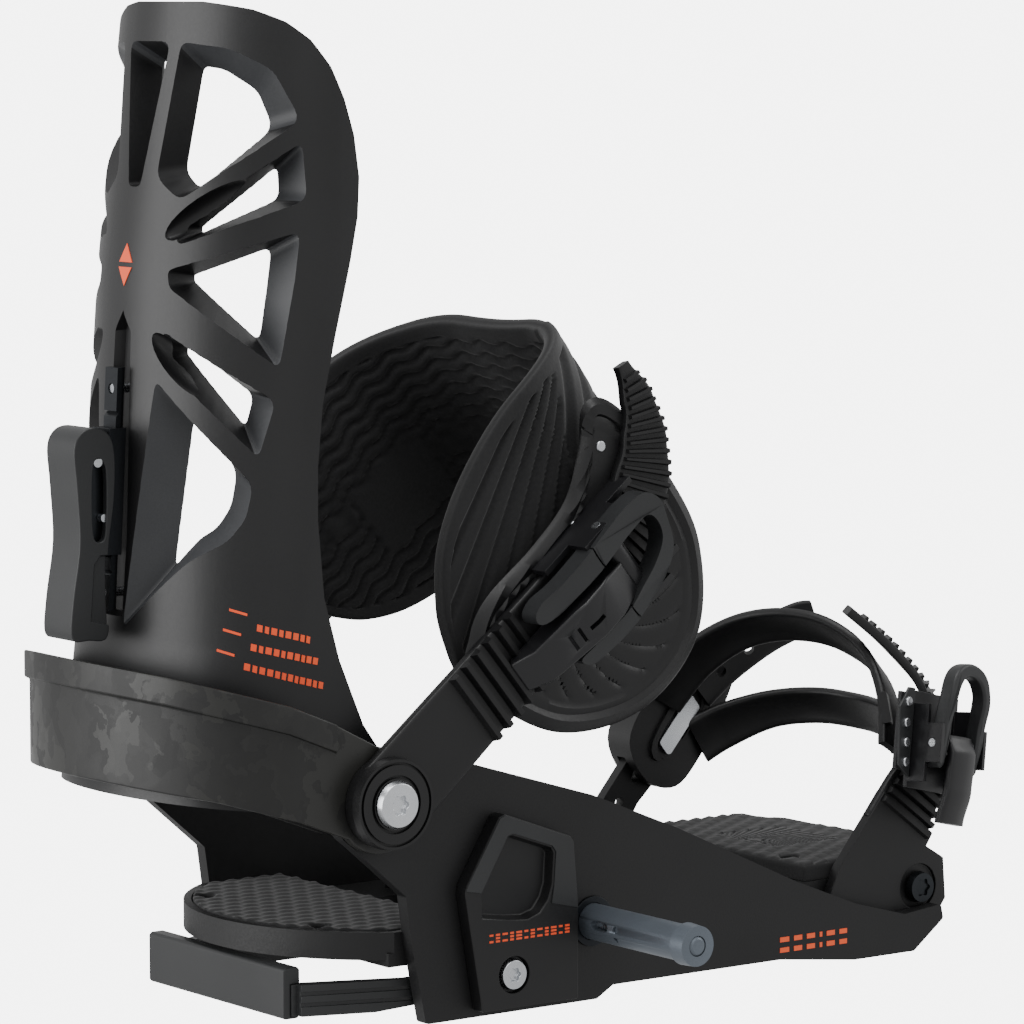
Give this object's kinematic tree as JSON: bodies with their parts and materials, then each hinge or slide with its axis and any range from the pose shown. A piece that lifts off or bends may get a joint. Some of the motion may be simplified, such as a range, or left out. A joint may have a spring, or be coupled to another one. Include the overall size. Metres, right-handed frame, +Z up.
{
  "type": "touring snowboard binding",
  "caption": "Snowboard touring binding with ribbed highback, heel loop, ankle and toe straps, ratchet buckles, side lock pin and heel bail.",
  "frame": {"origin": "middle of the puck channel in the underside plane, 90 mm ahead of the ankle screw axis", "axes": "+X to the toe, +Y to the left side, away from the buckles, +Z up"},
  "size_m": [0.304, 0.1718, 0.2922],
  "materials": {
    "base_black": "satin black coated magnesium casting",
    "shell_black": "satin black moulded nylon",
    "cover_black": "fine textured black cover",
    "forged": "forged carbon, marbled, satin",
    "grey": "mid grey coated aluminium",
    "foam": "moulded EVA foam",
    "strap": "dark soft polymer",
    "buckle": "dark grey moulded lever",
    "steel": "bright stainless fasteners",
    "dark_steel": "black coated steel",
    "liner": "low friction strip"
  },
  "bodies": {
    "root": {"baseplate": "base_black", "heel_pad": "foam", "toe_pad": "foam", "pad_screws": "dark_steel", "channel_liners": "liner", "side_cover_right": "cover_black", "side_cover_left": "cover_black", "bail_screws": "steel", "ankle_screws": "steel", "ankle_nuts": "dark_steel", "ankle_discs": "shell_black", "pin_bushes": "liner", "detent_ball": "steel", "detent_plug": "dark_steel", "heel_loop": "forged", "toe_ladder": "strap", "toe_screws": "dark_steel", "toe_bushes": "liner", "toe_nuts": "dark_steel", "toe_anchor_strap": "strap", "toe_block": "shell_black", "toe_block_plate": "steel", "toe_tail": "strap", "toe_web_upper": "strap", "toe_web_lower": "strap", "toe_buckle_base": "buckle", "toe_buckle_pin": "steel", "toe_spring": "steel", "toe_rivets": "steel"},
    "highback": {"highback": "shell_black", "lean_track": "shell_black", "track_screws": "steel"},
    "lean_slider": {"lean_slider": "dark_steel", "lean_hinge_pin": "steel", "lean_catch_pin": "steel"},
    "lean_lever": {"lean_lever": "grey"},
    "lock_pin": {"pin_sleeve": "grey", "pin_core": "steel", "pin_cap": "grey"},
    "heel_bail": {"bail_frame": "grey", "bail_grip": "grey", "bail_bushes": "liner"},
    "ankle_strap": {"ankle_pad": "foam", "ankle_ladder": "strap", "ankle_far_strap": "strap", "ankle_shell": "shell_black", "ankle_plate": "shell_black", "ankle_rivets": "steel", "ankle_buckle_base": "buckle", "ankle_buckle_pin": "steel", "ankle_spring": "steel"},
    "ankle_lever": {"ankle_lever": "buckle"},
    "ankle_trigger": {"ankle_trigger": "buckle"},
    "toe_lever": {"toe_lever": "buckle"},
    "toe_trigger": {"toe_trigger": "buckle"}
  },
  "joints": [
    {"name": "highback_lean", "type": "hinge", "parent": "root", "child": "highback", "pos_m": [-0.09, 0, 0.067], "axis": [0, 1, 0], "range_deg": [0, 12]},
    {"name": "lean_slide", "type": "slide", "parent": "highback", "child": "lean_slider", "axis": [0.0538, 0, 0.9986], "range_m": [0, 0.011]},
    {"name": "lean_lever_flip", "type": "hinge", "parent": "lean_slider", "child": "lean_lever", "pos_m": [-0.1516, 0, 0.163], "axis": [0, 1, 0], "range_deg": [0, 55]},
    {"name": "lock_pin_slide", "type": "slide", "parent": "root", "child": "lock_pin", "axis": [0, 1, 0], "range_m": [0, 0.043]},
    {"name": "heel_bail_swing", "type": "hinge", "parent": "root", "child": "heel_bail", "pos_m": [-0.044, 0, 0.012], "axis": [0, 1, 0], "range_deg": [-60, 0]},
    {"name": "ankle_strap_swing", "type": "hinge", "parent": "root", "child": "ankle_strap", "pos_m": [-0.09, 0, 0.067], "axis": [0, 1, 0], "range_deg": [-7, 8]},
    {"name": "ankle_lever_open", "type": "hinge", "parent": "ankle_strap", "child": "ankle_lever", "pos_m": [-0.0134, -0.07, 0.13128], "axis": [0.6428, 0, -0.766], "range_deg": [0, 55]},
    {"name": "ankle_trigger_press", "type": "hinge", "parent": "ankle_strap", "child": "ankle_trigger", "pos_m": [-0.0134, -0.07, 0.13128], "axis": [-0.6428, 0, 0.766], "range_deg": [0, 18], "stiffness_Nm_per_rad": 0.4},
    {"name": "toe_lever_open", "type": "hinge", "parent": "root", "child": "toe_lever", "pos_m": [0.12389, -0.06117, 0.06367], "axis": [0.947, 0.2303, -0.2238], "range_deg": [0, 55]},
    {"name": "toe_trigger_press", "type": "hinge", "parent": "root", "child": "toe_trigger", "pos_m": [0.12389, -0.06117, 0.06367], "axis": [-0.947, -0.2303, 0.2238], "range_deg": [0, 18], "stiffness_Nm_per_rad": 0.3}
  ]
}
